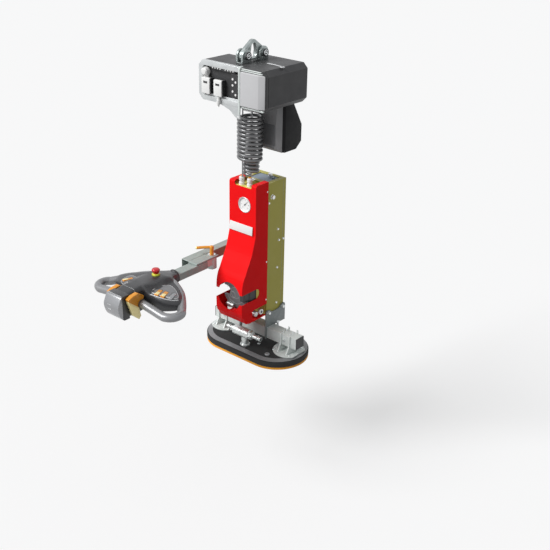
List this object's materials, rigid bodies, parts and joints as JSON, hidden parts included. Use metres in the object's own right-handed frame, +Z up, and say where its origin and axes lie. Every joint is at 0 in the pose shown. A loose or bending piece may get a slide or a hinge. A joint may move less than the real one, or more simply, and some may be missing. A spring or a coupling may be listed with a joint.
{
  "type": "vacuum panel lifter",
  "caption": "Vacuum panel lifter: an electric chain hoist carries a tower with an oval suction pad and a swivelling two-handed hand control.",
  "frame": {"origin": "centre of the underside of the pad's frame, inside the sealing lip", "axes": "+X along the pad, -Y towards the operator, +Z up along the chain"},
  "size_m": [0.7241, 1.0336, 1.6303],
  "materials": {
    "cover_red": "glossy red powder coat",
    "tower_olive": "olive yellow powder coat",
    "hoist_grey": "cast aluminium with a dark grey coat",
    "cover_grey": "light grey moulded plastic",
    "zinc": "zinc-plated steel",
    "steel": "bright steel",
    "bracket_grey": "dark blue-grey steel plate",
    "lid_blue_grey": "blue-grey steel sheet",
    "white_plastic": "white plastic",
    "pad_black": "black rubber",
    "lip_orange": "orange sealing rubber",
    "hose_black": "glossy black hose",
    "control_grey": "dark grey moulded plastic",
    "grip_grey": "satin grey plastic",
    "signal_gold": "golden orange plastic",
    "stop_red": "red plastic",
    "stop_yellow": "yellow plastic"
  },
  "bodies": {
    "hoist": {"hoist_housing": "hoist_grey", "end_frame": "zinc", "end_cover": "cover_grey", "contactor_left": "white_plastic", "contactor_right": "white_plastic", "terminal_block": "pad_black", "cable_gland": "white_plastic", "lug_front": "zinc", "lug_rear": "zinc", "lug_pin_front": "steel", "lug_pin_rear": "steel", "suspension_eye": "zinc", "chain_guide": "white_plastic", "load_chain": "steel", "chain_bucket": "hoist_grey", "hose_fitting": "white_plastic", "spiral_hose": "hose_black", "control_cable": "grip_grey"},
    "lift_unit": {"pad_lip": "lip_orange", "pad_frame": "pad_black", "pad_knob": "grip_grey", "foot_left": "zinc", "foot_right": "zinc", "cross_beam": "zinc", "beam_cap_left": "pad_black", "beam_cap_right": "pad_black", "tower_box": "tower_olive", "tower_lid": "lid_blue_grey", "bracket_left": "bracket_grey", "bracket_right": "bracket_grey", "head_plate": "tower_olive", "front_cover": "cover_red", "gauge_body": "white_plastic", "pump_plate": "bracket_grey", "pump_motor": "hoist_grey", "manifold": "steel", "valve_block_left": "white_plastic", "valve_block_right": "white_plastic", "chain_anchor": "white_plastic", "vacuum_tee": "steel", "arm_tube": "zinc", "arm_bracket": "zinc", "pivot_plate": "zinc", "pivot_bolt": "steel"},
    "needle": {"gauge_needle": "pad_black"},
    "lever": {"clamp_lever": "signal_gold"},
    "control": {"pivot_bushing": "steel", "control_stem": "zinc", "control_housing": "control_grey", "handle_left": "grip_grey", "handle_right": "grip_grey", "nose_cap": "grip_grey", "stop_ring": "stop_yellow"},
    "trigger_left": {"trigger_left": "signal_gold"},
    "trigger_right": {"trigger_right": "signal_gold"},
    "button_left": {"button_left": "signal_gold"},
    "button_inner": {"button_inner": "signal_gold"},
    "button_middle": {"button_middle": "signal_gold"},
    "button_reset": {"button_reset": "grip_grey"},
    "stop_button": {"stop_button": "stop_red"}
  },
  "joints": [
    {"name": "hoist_lift", "type": "slide", "parent": "hoist", "child": "lift_unit", "axis": [0, 0, 1], "range_m": [-0.6, 0.05], "deforming": ["load_chain", "spiral_hose", "control_cable"]},
    {"name": "needle_turn", "type": "hinge", "parent": "lift_unit", "child": "needle", "pos_m": [0.013, -0.1213, 0.83], "axis": [0, 1, 0], "range_deg": [-120, 120]},
    {"name": "control_swivel", "type": "hinge", "parent": "lift_unit", "child": "control", "pos_m": [-0.1367, -0.2, 0.5347], "axis": [0, 0, 1], "range_deg": [0, 45]},
    {"name": "lever_turn", "type": "hinge", "parent": "lift_unit", "child": "lever", "pos_m": [-0.1367, -0.2, 0.5347], "axis": [0, 0, 1], "range_deg": [-90, 90]},
    {"name": "trigger_left_pull", "type": "hinge", "parent": "control", "child": "trigger_left", "pos_m": [-0.1367, -0.743, 0.5], "axis": [1, 0, 0], "range_deg": [0, 12], "stiffness_Nm_per_rad": 3, "springref_deg": -20.05},
    {"name": "trigger_right_pull", "type": "hinge", "parent": "control", "child": "trigger_right", "pos_m": [-0.1367, -0.743, 0.5], "axis": [1, 0, 0], "range_deg": [0, 12], "stiffness_Nm_per_rad": 3, "springref_deg": -20.05},
    {"name": "button_left_press", "type": "slide", "parent": "control", "child": "button_left", "axis": [0.1308, -0.0476, -0.9903], "range_m": [0, 0.002], "stiffness_N_per_m": 400, "springref_m": -0.002},
    {"name": "button_inner_press", "type": "slide", "parent": "control", "child": "button_inner", "axis": [-0.1308, -0.0476, -0.9903], "range_m": [0, 0.002], "stiffness_N_per_m": 400, "springref_m": -0.002},
    {"name": "button_middle_press", "type": "slide", "parent": "control", "child": "button_middle", "axis": [-0.1308, -0.0476, -0.9903], "range_m": [0, 0.002], "stiffness_N_per_m": 400, "springref_m": -0.002},
    {"name": "button_reset_press", "type": "slide", "parent": "control", "child": "button_reset", "axis": [-0.1308, -0.0476, -0.9903], "range_m": [0, 0.002], "stiffness_N_per_m": 400, "springref_m": -0.002},
    {"name": "stop_press", "type": "slide", "parent": "control", "child": "stop_button", "axis": [0, 0, -1], "range_m": [0, 0.004], "stiffness_N_per_m": 600, "springref_m": -0.003}
  ]
}
